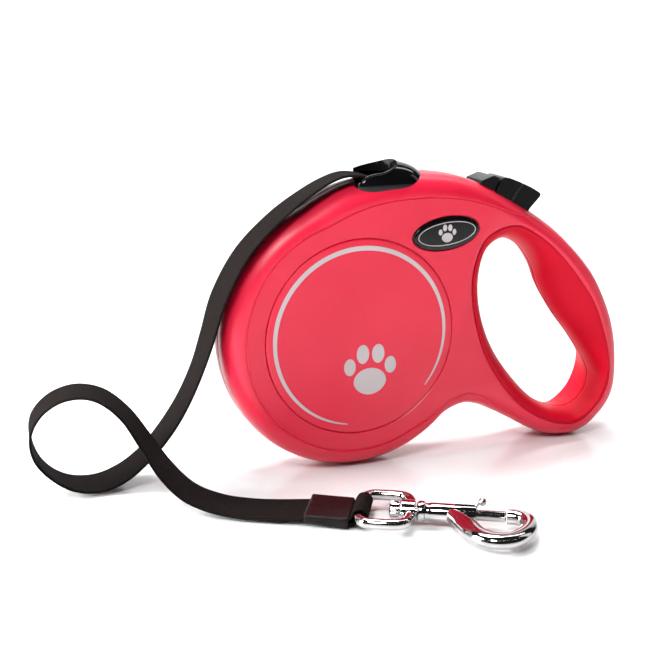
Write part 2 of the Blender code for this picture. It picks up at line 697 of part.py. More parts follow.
def build_sleeve():
    """Vinyl sleeve over the folded end of the tape, and the loop round the eye's bar."""
    rings = []
    for s, half_w, low, high in ((-19.0, 10.6, -4.9, -1.8), (-18.2, 10.9, -4.9, -1.4),
                                 (-2.3, 10.9, -4.9, -0.2), (-1.6, 10.6, -4.7, -0.3)):
        corners = [(-half_w, low), (half_w, low), (half_w, high - 0.7),
                   (half_w - 0.9, high), (-half_w + 0.9, high), (-half_w, high - 0.7)]
        rings.append([clip(s, w, z + lift(s)) for w, z in corners])
    sleeve = loft("end_sleeve", rings, "sleeve_vinyl")
    hollow = []
    for s, low, high in ((-24, -4.5, -2.1), (-19, -4.5, -1.9), (0, -4.5, -0.55)):
        hollow.append([clip(s, w, z + lift(s)) for w, z in
                       ((-10.1, low), (10.1, low), (10.1, high), (-10.1, high))])
    cut_from(sleeve, loft("hollow", hollow))

    across = Vector(clip(0, 1, 0)) - Vector(clip(0, 0, 0))
    route = [clip(s, 0, z + lift(s)) for s, z in ((-18.5, -3.7), (-8, -3.6), (-0.5, -3.45))]
    for degrees in range(-110, 151, 20):
        a = math.radians(degrees)
        route.append(clip(EYE_BAR + 2.9 * math.cos(a), 0, 2.9 * math.sin(a) - 0.1))
    route += [clip(s, 0, z + lift(s)) for s, z in ((-1.2, -1.3), (-2.6, -1.6), (-8, -1.95),
                                                   (-18.2, -2.65))]
    stations = [(Vector(p), across) for p in route]
    strap("tape_end_loop", stations, 19.4, 0.8, "tape_webbing")


def build_eye():
    """Forged eye that turns on the tape, with the swivel's socket."""
    half = [(EYE_BAR, 5), (EYE_BAR, 10.0), (4.0, 12.4), (6.9, 13.9), (15.8, 13.9),
            (19.2, 12.6), (21.0, 9.8), (21.4, 5)]
    line = half + [(s, -w) for s, w in reversed(half)]
    eye = tube("swivel_eye", [clip(s, w, 0) for s, w in line], 2.1, "chrome", 10, True)
    join_on(eye, bar("socket", clip(18.0, 0, 0), clip(23.6, 0, 0), 4.4, sides=20))
    cut_from(eye, bar("bore", clip(16, 0, 0), clip(26, 0, 0), 2.1 + GAP, sides=16))
    return eye


def build_hook():
    """Bolt snap: the swivelling body, its rivet, its sliding bolt and spring."""
    rivet = bar("swivel_rivet", clip(13.4, 0, 0), clip(17.6, 0, 0), 3.6, "chrome", 16)
    join_on(rivet, bar("stem", clip(17, 0, 0), clip(28.2, 0, 0), 2.1, sides=14))
    body = bar("hook_body", clip(24.2, 0, 0), clip(47.4, 0, 0), 3.9, "chrome", 20)
    curl = spline([CURL[0]] + CURL + [CURL[-1]], 3, False)
    sections = []
    for i, (s, w, wide) in enumerate(curl):
        before, after = curl[max(i - 1, 0)], curl[min(i + 1, len(curl) - 1)]
        ds, dw = after[0] - before[0], after[1] - before[1]
        size = math.hypot(ds, dw)
        ring = []
        for k in range(12):
            a = 2 * math.pi * (k + 0.5) / 12
            off = wide * math.copysign(abs(math.cos(a)) ** 0.95, math.cos(a))
            high = 3.0 * math.copysign(abs(math.sin(a)) ** 0.95, math.sin(a))
            ring.append(clip(s - dw / size * off, w + ds / size * off, high))
        sections.append(ring)
    join_on(body, loft("curl", sections))
    cut_from(body,
             bar("stem_bore", clip(23, 0, 0), clip(28.8, 0, 0), 2.1 + GAP, sides=16),
             bar("bolt_bore", clip(34.2, 0, 0), clip(50, 0, 0), 2.5, sides=16))
    start = POST_S - BOLT_TRAVEL - 1.1
    slot = [clip(s, w, z) for s, w, z in ((start, -1.0, 0), (52.0, -1.0, 0),
                                          (52.0, 1.0, 0), (start, 1.0, 0))]
    cut_from(body, loft("knob_slot", [[(x, y, z) for x, y, z in slot],
                                      [(x, y, z + 7) for x, y, z in slot]]))
    bolt = bar("hook_bolt", clip(42.2, 0, 0), clip(58.7, 0, 0), 2.2, "chrome", 16)
    lever = [(POST_S, 0), (POST_S, 2.6), (POST_S + 0.5, 4.2), (POST_S + 1.4, 5.2),
             (POST_S + 2.4, 5.7)]
    join_on(bolt, tube("lever", [clip(s, 0, z) for s, z in lever], 0.7, sides=10))
    knob = []
    for k in range(1, 8):
        up = math.pi * (k / 8 - 0.5)
        knob.append([clip(POST_S + 2.6 + 1.6 * math.cos(up) * math.cos(a),
                          1.6 * math.cos(up) * math.sin(a), 5.7 + 1.6 * math.sin(up))
                     for a in (2 * math.pi * j / 12 for j in range(12))])
    join_on(bolt, loft("knob", knob))
    spring = []
    for i in range(33):
        a = 2 * math.pi * i / 8
        spring.append(clip(34.8 + 6.8 * i / 32, 1.7 * math.cos(a), 1.7 * math.sin(a)))
    coil = tube("bolt_spring", spring, 0.25, "steel", 5)
    return rivet, body, bolt, coil


def build_clip():
    eye = build_eye()
    rivet, body, bolt, coil = build_hook()
    eye_axis = pivot("eye_axis", world(*clip(EYE_BAR, 0, 0)))
    swivel_axis = pivot("swivel_axis", world(*clip(24, 0, 0)), eye_axis)
    bolt_axis = pivot("bolt_axis", world(*clip(44, 0, 0)), swivel_axis)
    hang(eye_axis, eye)
    hang(swivel_axis, rivet, body, coil)
    hang(bolt_axis, bolt)


def main():
    for old in list(bpy.data.objects):
        bpy.data.objects.remove(old)
    build_case()
    build_outlet()
    build_reel()
    build_brake()
    build_tape()
    build_sleeve()
    build_clip()


main()
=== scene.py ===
"""Looks of the retractable tape leash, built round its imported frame.

Shapes are in case millimetres, as in the part's source: X from the reel's axis, Z up
from the surface the case stands on. world() turns them into the row frame's metres.
"""
import math

import bmesh
import bpy
from mathutils import Matrix, Vector
from mathutils.bvhtree import BVHTree

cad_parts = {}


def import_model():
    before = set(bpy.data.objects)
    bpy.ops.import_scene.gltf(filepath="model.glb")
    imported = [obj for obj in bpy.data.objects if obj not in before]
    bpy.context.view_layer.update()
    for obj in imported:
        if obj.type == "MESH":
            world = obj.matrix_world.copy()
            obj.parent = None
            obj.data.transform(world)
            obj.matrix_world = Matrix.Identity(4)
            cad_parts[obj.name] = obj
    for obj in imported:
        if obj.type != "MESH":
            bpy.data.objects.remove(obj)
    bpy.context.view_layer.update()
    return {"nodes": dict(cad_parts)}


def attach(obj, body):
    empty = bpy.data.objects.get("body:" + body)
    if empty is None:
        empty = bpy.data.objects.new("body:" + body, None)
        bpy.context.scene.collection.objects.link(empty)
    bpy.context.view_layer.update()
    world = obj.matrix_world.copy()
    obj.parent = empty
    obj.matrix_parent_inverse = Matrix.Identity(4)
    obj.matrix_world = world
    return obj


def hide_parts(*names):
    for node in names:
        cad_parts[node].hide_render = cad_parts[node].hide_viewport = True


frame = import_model()
NODES = frame["nodes"]

MM = 0.001
GAP = 0.3
REEL_X, REEL_Z, DISC_R = -36.36, 59.6, 59.3
HALF_T, RIM_HALF, WALL = 13.8, 3.2, 1.9
INNER_HALF, CHAMBER_HALF, CHAMBER_R = 11.9, 11.6, 53.7
COVER_R, COVER_T, RECESS = 42.4, 1.0, 1.15
TAPE_W, TAPE_T = 20.0, 1.0
SLOPE_X, SLOPE_Z, SLOPE = 75.8, 112.3, math.radians(-29.5)
CLIP_X, CLIP_Y, CLIP_Z, CLIP_TURN = -21.7, -62.7, 5.2, math.radians(-28.9)
ARC_START, ARC_END, ARC_FLANK = 116.0, 308.0, 8.5
GRIP_T = 1.3
AXLE_BORE, SCREW_POST_R, SCREW_WAY_R = 3.5, 3.0, 2.8
EYE_BAR, EYE_WIRE = 2.7, 2.1
RING_R, RING_STEPS, PRINT_T = 38.6, 150, 0.1
PAW_SIDES = 32
MOUTH_HALF = 10.6
LIFT, LIFT_START, LIFT_RUN = 1.8, -1.6, 17.4
LEVER_R, KNOB_R, KNOB_S, KNOB_Z = 0.7, 1.6, 49.4, 5.7
FLOOR_HALF, SWEEP_Y, SWEEP_R = 7.0, 1.6, 0.9
OPENING_SWEEP = math.radians(65)
BADGE = (38.7, 101.9, 15.5, 7.0, math.radians(6))
SCREWS = [(52.5, 32.0), (107.2, 83.1), (127.4, 25.2), (33.5, 116.9)]

EDGE = [                  # outline away from the reel: x, z and flank width
    (43.6, 18.7, 8.8), (51.8, 21.4, 9), (59.3, 20.2, 8.5), (67.5, 16.4, 8),
    (76.3, 11.6, 8), (85.5, 6.1, 8), (94.5, 1.9, 8), (103.0, 0.25, 8),
    (110.5, 0.45, 8), (117.6, 3.3, 8), (123.1, 7.8, 8), (127.2, 12.4, 8),
    (130.3, 18.0, 8.3), (131.9, 25.9, 8.5), (131.5, 37.4, 8.5), (129.4, 50.0, 8.3),
    (124.6, 63.1, 8), (116.0, 78.2, 7.4), (103.5, 92.0, 7), (90.9, 102.6, 7),
    (75.7, 112.2, 7.2), (62.3, 119.4, 8), (49.4, 124.5, 9), (35.0, 126.9, 9),
    (20.0, 127.1, 9), (5.0, 125.4, 9), (-9.0, 121.8, 9),
]
OPENING = [               # finger opening: x and z at the parting plane and at the face
    (70, 95.7, 71.5, 102.1), (61.5, 90.4, 58.7, 97.2), (59, 78.7, 53.1, 80.7),
    (60.6, 63.7, 55, 62.7), (67.7, 46.2, 61.5, 43.7), (80, 29.2, 74, 25.9),
    (93, 17.1, 88, 14.4), (108, 11.7, 105.5, 8.9), (118, 16.5, 117, 15.1),
    (121.5, 25.2, 122.8, 26.7), (118.6, 34.3, 122.8, 39.7), (109.9, 46.7, 118.8, 53.7),
    (100.5, 58.4, 113.2, 66.2), (92, 71.7, 103.4, 79.1), (88.2, 81.7, 92.8, 90.1),
    (81, 91.5, 81.6, 98.3),
]
TAPE_ROUTE = [            # middle of the free tape, and the turn and dip of its width
    (6.5, 0, 126.2, 0, 0), (-0.5, -0.2, 127.3, 0, -2), (-8, -0.6, 126.4, 0, -6),
    (-18, -1.4, 122.1, 0, -6), (-33, -2.7, 112.6, -1, -4), (-48.6, -3.5, 98, -1, -2),
    (-59, -3.1, 79.8, -1, 1), (-64.4, -0.9, 61.4, 2, 6), (-68.9, 1.6, 46.8, 6, 9),
    (-74.8, 3.9, 33.1, 6, 7), (-82.4, 5.1, 21.3, 4, 3), (-90.9, 5.5, 11.9, 3, 0),
    (-100.4, 5.5, 5.1, 1, 0), (-111.1, 5.1, 1.9, -2, 0), (-122.5, 4.3, 4, -5, 1),
    (-131.9, 3.1, 11.4, -4, 4), (-137.4, 1.6, 21.8, 3, 9), (-137.6, -0.4, 32.7, 9, 10),
    (-131.8, -3, 41.7, 16, 7), (-122.1, -6.8, 46.9, 20, 1), (-111.6, -10.9, 46, 21, -5),
    (-102.4, -15.3, 38.6, 21, -7), (-95.4, -19.4, 27.4, 23, -5), (-88.8, -23.6, 16.1, 26, -3),
    (-80.7, -29, 7.3, 27, -3), (-70.7, -35.4, 3.2, 27, -2), (-60.4, -41.5, 2.0, 28, -1),
    (-50.4, -47.1, 2.1, 29, 0), (-38.6, -53.6, 3.1, 29, 0),
]


# ---- camera, made first; the cord's route was measured against its view ----
def world(x, y, z):
    """Case millimetres to metres in the row frame."""
    return Vector(((x + REEL_X) * MM, y * MM, z * MM))


def make_camera():
    data = bpy.data.cameras.new("photo_camera")
    data.sensor_width, data.lens, data.clip_start = 36.0, 66.46, 0.01
    camera = bpy.data.objects.new("photo_camera", data)
    bpy.context.scene.collection.objects.link(camera)
    yaw, pitch = math.radians(20.27), math.radians(15.22)
    ahead = Vector((math.sin(yaw) * math.cos(pitch), math.cos(yaw) * math.cos(pitch),
                    -math.sin(pitch)))
    right = Vector((math.cos(yaw), -math.sin(yaw), 0))
    place = Matrix((right, right.cross(ahead), -ahead)).transposed().to_4x4()
    place.translation = world(-184.3, -468.2, 198.45)
    camera.matrix_world = place
    bpy.context.scene.camera = camera


# ---- materials ----
class Nodes:
    """A node material under construction."""

    def __init__(self, name, colour, rough, metal=0.0, **sockets):
        self.material = bpy.data.materials.new(name)
        self.material.use_nodes = True
        self.tree = self.material.node_tree
        self.shader = self.tree.nodes["Principled BSDF"]
        self.shader.inputs["Base Color"].default_value = (*colour, 1)
        self.shader.inputs["Roughness"].default_value = rough
        self.shader.inputs["Metallic"].default_value = metal
        for key, value in sockets.items():
            self.shader.inputs[key.replace("_", " ")].default_value = value
        self.place = self.add("ShaderNodeTexCoord").outputs["Object"]
        self.height = None

    def add(self, kind, **settings):
        node = self.tree.nodes.new(kind)
        for key, value in settings.items():
            setattr(node, key, value)
        return node

    def link(self, source, target):
        self.tree.links.new(source, target)

    def noise(self, scale, detail=3.0):
        node = self.add("ShaderNodeTexNoise")
        node.inputs["Scale"].default_value = scale
        node.inputs["Detail"].default_value = detail
        self.link(self.place, node.inputs["Vector"])
        return node.outputs["Fac"]

    def spread(self, source, low, high, start=0.3, end=0.7):
        node = self.add("ShaderNodeMapRange")
        for key, value in (("From Min", start), ("From Max", end), ("To Min", low),
                           ("To Max", high)):
            node.inputs[key].default_value = value
        self.link(source, node.inputs["Value"])
        return node.outputs["Result"]

    def maths(self, operation, a, b):
        node = self.add("ShaderNodeMath", operation=operation)
        for socket, value in zip(node.inputs, (a, b)):
            if isinstance(value, (int, float)):
                socket.default_value = value
            else:
                self.link(value, socket)
        return node.outputs[0]

    def colours(self, source, first, second):
        node = self.add("ShaderNodeMix", data_type="RGBA")
        node.inputs["A"].default_value = (*first, 1)
        node.inputs["B"].default_value = (*second, 1)
        self.link(source, node.inputs["Factor"])
        self.link(node.outputs["Result"], self.shader.inputs["Base Color"])

    def rough(self, source, low, high):
        self.link(self.spread(source, low, high), self.shader.inputs["Roughness"])

    def bump(self, source, distance, strength=1.0):
        node = self.add("ShaderNodeBump")
        node.inputs["Distance"].default_value = distance
        node.inputs["Strength"].default_value = strength
        self.link(source, node.inputs["Height"])
        if self.height:
            self.link(self.height, node.inputs["Normal"])
        self.height = node.outputs["Normal"]
        self.link(self.height, self.shader.inputs["Normal"])


def moulded(name, dark, light, rough, grain=2600, depth=0.000006, **sockets):
    """Moulded plastic: faint flow variation, a fine spark-eroded grain and scuffs."""
    m = Nodes(name, light, rough, **sockets)
    m.colours(m.spread(m.noise(28, 2), 0, 1), dark, light)
    m.rough(m.noise(90, 4), rough * 0.86, rough * 1.18)
    m.bump(m.noise(grain, 2), depth)
    return m.material


def polished(name, colour, low, high):
    """Plated die casting: small waves from the casting under the plate."""
    m = Nodes(name, colour, low, 1.0)
    m.colours(m.spread(m.noise(160, 3), 0, 1), tuple(c * 0.9 for c in colour), colour)
    m.rough(m.noise(700, 4), low, high)
    m.bump(m.noise(150, 1), 0.00002, 0.4)
    return m.material


def webbing():
    """Fine woven tape: ribs across, yarns along, and a bound selvedge on each side."""
    m = Nodes("tape_webbing", (0.011, 0.008, 0.0075), 0.8, Specular_IOR_Level=0.03)
    uv = m.add("ShaderNodeUVMap", uv_map="UVMap").outputs["UV"]
    parts = m.add("ShaderNodeSeparateXYZ")
    m.link(uv, parts.inputs["Vector"])
    along, across = parts.outputs["X"], parts.outputs["Y"]
    rib = m.maths("SINE", m.maths("MULTIPLY", m.maths("ADD", along, across), 5.2), 0)
    yarn = m.maths("SINE", m.maths("MULTIPLY", m.maths("SUBTRACT", across, along), 5.2), 0)
    weave = m.maths("ADD", m.maths("MULTIPLY", rib, yarn), m.maths("MULTIPLY", rib, 0.4))
    edge = m.spread(m.maths("ABSOLUTE", across, 0), 0, 1, 8.9, 9.2)
    shade = m.maths("ADD", m.spread(weave, 0.1, 0.75, -1.2, 1.2),
                    m.spread(m.noise(900, 3), -0.15, 0.25))
    m.colours(m.maths("SUBTRACT", shade, m.maths("MULTIPLY", edge, 0.15)),
              (0.003, 0.0022, 0.002), (0.016, 0.0118, 0.0108))
    m.bump(weave, 0.00012, 0.7)
    m.bump(m.noise(5200, 2), 0.00003, 0.6)
    return m.material


def vinyl():
    """Soft wrapped vinyl with a faint leather grain."""
    m = Nodes("sleeve_vinyl", (0.012, 0.007, 0.006), 0.4, Specular_IOR_Level=0.14)
    m.colours(m.spread(m.noise(60, 3), 0, 1), (0.004, 0.0024, 0.0024), (0.010, 0.0058, 0.0058))
    m.rough(m.noise(300, 3), 0.3, 0.5)
    m.bump(m.noise(1500, 4), 0.00004, 0.6)
    return m.material


RED, DEEP_RED = (0.76, 0.012, 0.05), (0.70, 0.008, 0.037)
LOOKS = {
    "case_red": moulded("case_red", DEEP_RED, RED, 0.36, Specular_IOR_Level=0.5),
    # Grip colour: partly the soft grip's own deeper red, partly painted shade of the handle's
    # dim right side and inner face
    "grip_red": moulded("grip_red", (0.52, 0.002, 0.016), (0.60, 0.004, 0.022), 0.45, 1500,
                        0.00001, Specular_IOR_Level=0.1),
    "gloss_black": moulded("gloss_black", (0.002, 0.002, 0.0025), (0.004, 0.004, 0.0045),
                           0.08, 900, 0.000002, Specular_IOR_Level=0.3),
    "satin_black": moulded("satin_black", (0.0025, 0.002, 0.0025), (0.005, 0.0045, 0.005), 0.2,
                           2200, 0.000005, Specular_IOR_Level=0.12),
    "tape_webbing": webbing(),
    "sleeve_vinyl": vinyl(),
    "chrome": polished("chrome", (0.50, 0.48, 0.48), 0.05, 0.11),
    "steel": polished("steel", (0.58, 0.58, 0.60), 0.22, 0.4),
    "reel_nylon": moulded("reel_nylon", (0.66, 0.65, 0.61), (0.74, 0.73, 0.69), 0.45),
    "foot_rubber": moulded("foot_rubber", (0.012, 0.012, 0.012), (0.02, 0.02, 0.02), 0.75,
                           1800, 0.00004),
    "print_silver": moulded("print_silver", (0.48, 0.42, 0.43), (0.56, 0.50, 0.51), 0.38,
                            1500, 0.000004),
}


# ---- mesh helpers ----
def slope(t, n):
    """A point on the shoulder, along it and square to it, as case x and z."""
    return (SLOPE_X + t * math.cos(SLOPE) - n * math.sin(SLOPE),
            SLOPE_Z + t * math.sin(SLOPE) + n * math.cos(SLOPE))


def clip(s, w, z):
    """A point on the snap hook: along it, across it and up, in case millimetres."""
    return (CLIP_X + s * math.cos(CLIP_TURN) - w * math.sin(CLIP_TURN),
            CLIP_Y + s * math.sin(CLIP_TURN) + w * math.cos(CLIP_TURN), CLIP_Z + z)


def spline(points, steps, closed):
    """Catmull-Rom samples through the points; an open run leaves out its two ends."""
    count = len(points)
    out = []
    for i in range(count) if closed else range(1, count - 2):
        a, b, c, d = (points[(i + k) % count] for k in (-1, 0, 1, 2))
        for step in range(steps):
            u = step / steps
            out.append(tuple(
                0.5 * (2 * q + (r - p) * u + (2 * p - 5 * q + 4 * r - s) * u * u
                       + (3 * q - p - 3 * r + s) * u ** 3)
                for p, q, r, s in zip(a, b, c, d)))
    if not closed:
        out.append(tuple(points[count - 2]))
    return out


def solid(name, verts, faces, look="steel", smooth=35, uvs=None):
    mesh = bpy.data.meshes.new(name)
    mesh.from_pydata([world(*v) for v in verts], [], faces)
    if uvs:
        layer = mesh.uv_layers.new(name="UVMap")
        for loop in mesh.loops:
            layer.data[loop.index].uv = uvs[loop.vertex_index]
    shape = bmesh.new()
    shape.from_mesh(mesh)
    bmesh.ops.recalc_face_normals(shape, faces=shape.faces)
    shape.to_mesh(mesh)
    shape.free()
    mesh.shade_smooth()
    mesh.set_sharp_from_angle(angle=math.radians(smooth))
    mesh.materials.append(LOOKS[look])
    made = bpy.data.objects.new(name, mesh)
    bpy.context.scene.collection.objects.link(made)
    return made


def loft(name, rings, look="steel", closed=False, smooth=35, uvs=None):
    size = len(rings[0])
    verts = [point for ring in rings for point in ring]
    faces = []
    for i in range(len(rings) if closed else len(rings) - 1):
        low, high = i * size, ((i + 1) % len(rings)) * size
        for j in range(size):
            k = (j + 1) % size
            faces.append((low + j, low + k, high + k, high + j))
    if not closed:
        faces.append(tuple(range(size)))
        faces.append(tuple(reversed(range((len(rings) - 1) * size, len(rings) * size))))
    return solid(name, verts, faces, look, smooth, uvs)


def prism(name, outline, y0, y1, look="steel"):
    return loft(name, [[(x, y, z) for x, z in outline] for y in (y0, y1)], look)


def circle(sides):
    return [(math.cos(a), math.sin(a)) for a in (2 * math.pi * k / sides
                                                for k in range(sides))]


def turned(name, profile, look="steel", sides=128):
    """A closed profile of (radius, y), turned about the reel's axis."""
    rings = [[(r * c, y, REEL_Z + r * s) for r, y in profile]
             for c, s in circle(sides)]
    return loft(name, rings, look, closed=True)


def spun(name, profile, sides=40):
    """An open profile of (s, radius), turned about the snap hook's axis."""
    return loft(name, [[clip(s, r * c, r * d) for c, d in circle(sides)]
                       for s, r in profile], "chrome", smooth=40)


def combine(target, tool, operation="DIFFERENCE"):
    """Apply one boolean step to the target and use up the tool."""
    step = target.modifiers.new(operation.lower(), "BOOLEAN")
    step.operation = operation
    step.object = tool
    bpy.context.view_layer.update()
    graph = bpy.context.evaluated_depsgraph_get()
    result = bpy.data.meshes.new_from_object(target.evaluated_get(graph))
    target.modifiers.clear()
    old = target.data
    target.data = result
    bpy.data.meshes.remove(old)
    bpy.data.objects.remove(tool)
    while len(result.materials) > 1:
        result.materials.pop()


def cut(target, *tools):
    for tool in tools:
        combine(target, tool)


def join(target, *tools):
    for tool in tools:
        combine(target, tool, "UNION")


def shade(piece, angle):
    """Shade the piece smooth, with sharp edges above the angle."""
    piece.data.shade_smooth()
    piece.data.set_sharp_from_angle(angle=math.radians(angle))


def soften(piece, width, segments=3, angle=35):
    """Round the piece's edges and keep its flats flat."""
    step = piece.modifiers.new("edges", "BEVEL")
    step.width = width * MM
    step.segments = segments
    step.limit_method = "ANGLE"
    step.angle_limit = math.radians(angle)
    step.harden_normals = True
    return piece


def stand_for(piece, body, *nodes, slot=None):
    """Let the piece ride a body, and replace the nodes it stands for."""
    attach(piece, body)
    if nodes:
        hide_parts(*nodes)


# ---- case ----
def edge_line(arc_step, steps):
    """The case's outline, as (x, z, flank width), round the reel and the handle."""
    arc = []
    count = round((ARC_END - ARC_START) / arc_step)
    for k in range(count + 1):
        a = math.radians(ARC_START + (ARC_END - ARC_START) * k / count)
        arc.append((DISC_R * math.cos(a), REEL_Z + DISC_R * math.sin(a), ARC_FLANK))
    reach = max(1, round(9.6 / arc_step))
    rest = spline([arc[-1 - reach], arc[-1]] + EDGE + [arc[0], arc[reach]], steps, False)
    return arc[:-1] + rest[:-1]


def inset(line, distance):
    """The outline moved inward by a distance that depends on the flank."""
    count = len(line)
    out = []
    for i, (x, z, flank) in enumerate(line):
        before, after = line[i - 1], line[(i + 1) % count]
        dx, dz = after[0] - before[0], after[1] - before[1]
        size = math.hypot(dx, dz)
        step = distance(flank)
        out.append((x - dz / size * step, z + dx / size * step))
    return out


def flank_depth(flank, y):
    """How far the rounded flank has come in at a distance y from the parting plane."""
    past = max(0.0, min(1.0, (y - RIM_HALF) / (HALF_T - RIM_HALF)))
    return flank * (1 - math.sqrt(1 - past * past))


def case_form(name, side, grow=0.0, start=-1.0):
    """Plain form of one half, grown outward, for cutting what stands on the case."""
    line = edge_line(4.8, 4)
    levels = [start, RIM_HALF] + [RIM_HALF + (HALF_T - RIM_HALF) * math.sin(math.radians(a))
                                  for a in (18, 36, 54, 72, 90)]
    rings = [[(x, side * y, z) for x, z in
              inset(line, lambda flank: flank_depth(flank, y) - grow)] for y in levels]
    rings.append([(x, side * (HALF_T + grow + 0.5), z) for x, _, z in rings[-1]])
    return loft(name, rings)


def case_outside(name, side):
    """Fine outside of one half, with a small chamfer along the parting line."""
    line = edge_line(2.0, 8)
    levels = [(GAP / 2, 0.3), (0.4, 0.06), (0.7, 0.0), (RIM_HALF, 0.0)]
    levels += [(RIM_HALF + (HALF_T - RIM_HALF) * math.sin(math.radians(a)), 0.0)
               for a in range(8, 91, 6)] + [(HALF_T, 0.0)]
    rings = [[(x, side * y, z) for x, z in
              inset(line, lambda flank: flank_depth(flank, y) + extra)]
             for y, extra in levels]
    return loft(name, rings, "case_red")


def case_hollow(name, side):
    """Space inside one half."""
    line = edge_line(9.6, 2)[::2]
    rings = [[(x, side * y, z) for x, z in
              inset(line, lambda flank: flank_depth(flank, y + 1.2) + WALL)]
             for y in (-1.0, 5.0, 9.0, INNER_HALF)]
    return loft(name, rings)


def opening_ring(y, grow, steps=6):
    """Finger opening at a distance y from the parting plane, grown into the case."""
    turn = math.asin(min(1.0, max(0.0, y) / HALF_T) * math.sin(OPENING_SWEEP))
    share = (1 - math.cos(turn)) / (1 - math.cos(OPENING_SWEEP))
    ring = spline([(a + (c - a) * share, b + (d - b) * share) for a, b, c, d in OPENING],
                  steps, True)
    out = []
    for i, (x, z) in enumerate(ring):
        before, after = ring[i - 1], ring[(i + 1) % len(ring)]
        dx, dz = after[0] - before[0], after[1] - before[1]
        size = math.hypot(dx, dz)
        out.append((x + dz / size * grow, z - dx / size * grow))
    return out


def opening_plug(name, side, grow, flare, steps=6):
    """Cutter of the finger opening, flared at the face."""
    levels = [(y, grow) for y in (-1.0, 1.5, 3, 4.5, 6, 7.5, 9, 10.5, 11.7, 12.6, HALF_T - 0.35)]
    levels += [(HALF_T - 0.1, grow + flare * 0.35), (HALF_T + 0.05, grow + flare),
               (HALF_T + 1.0, grow + flare * 2)]
    return loft(name, [[(x, side * y, z) for x, z in opening_ring(y, g, steps)]
                       for y, g in levels])


def handle_grip(name, side):
    """Soft lining of half the opening, with rounded lips at the face."""
    levels = [(GAP / 2, 0.25), (GAP / 2 + 0.25, 0.0)]
    levels += [(y, 0.0) for y in (1.5, 3, 4.5, 6, 7.5, 9, 10.5, 11.7, 12.6, 13.2)]
    levels += [(HALF_T - 0.3, 0.08), (HALF_T - 0.16, 0.3), (HALF_T - 0.1, 0.65),
               (HALF_T - 0.16, 1.0), (HALF_T - 0.3, 1.22), (13.2, GRIP_T)]
    levels += [(y, GRIP_T) for y in (11.7, 9, 6, 3, GAP / 2)]
    return loft(name, [[(x, side * y, z) for x, z in opening_ring(y, g)]
                       for y, g in levels], "grip_red", closed=True, smooth=50)


def oval(grow=0.0, sides=96):
    """Outline of the badge."""
    x, z, long, short, tilt = BADGE
    out = []
    for c, s in circle(sides):
        u, v = (long + grow) * c, (short + grow) * s
        out.append((x + u * math.cos(tilt) - v * math.sin(tilt),
                    z + u * math.sin(tilt) + v * math.cos(tilt)))
    return out


# Panel line on each face, as x and z; its arc round the reel is worked out.
LINE_START = [(80.6, 107.4), (78.2, 106.2), (73.0, 107.8), (59.5, 112.8), (46.2, 116.2),
              (29.8, 117.8), (11.8, 116.9), (-2.2, 113.6)]
LINE_END = [(32.0, 18.9), (40.4, 23.6), (46.4, 27.4), (52.6, 28.6), (58.9, 26.4),
            (65.4, 22.2), (72.4, 17.0), (80.6, 11.9), (89.0, 7.4)]
LINE_R = 50.8


def panel_line(body, side):
    """Cutter of the thin groove, laid on the body's own surface."""
    points = LINE_START + [(LINE_R * math.cos(a), REEL_Z + LINE_R * math.sin(a))
                           for a in (math.radians(d) for d in range(106, 302, 13))] + LINE_END
    points = spline([points[0]] + points + [points[-1]], 5, False)
    tree = BVHTree.FromObject(body, bpy.context.evaluated_depsgraph_get())
    route = []
    for x, z in points:
        hit, normal, _, _ = tree.ray_cast(world(x, side * 30, z), Vector((0, -side, 0)))
        route.append(((hit + normal * 0.12 * MM) / MM, normal))
    rings = []
    for i, (here, up) in enumerate(route):
        along = route[min(i + 1, len(route) - 1)][0] - route[max(i - 1, 0)][0]
        across = along.cross(up).normalized()
        size = 0.5 * min(1.0, 0.25 + min(i, len(route) - 1 - i) / 12)
        rings.append([(here.x - REEL_X + size * (c * across.x + s * up.x),
                       here.y + size * (c * across.y + s * up.y),
                       here.z + size * (c * across.z + s * up.z)) for c, s in circle(8)])
    return loft("panel_line", rings)


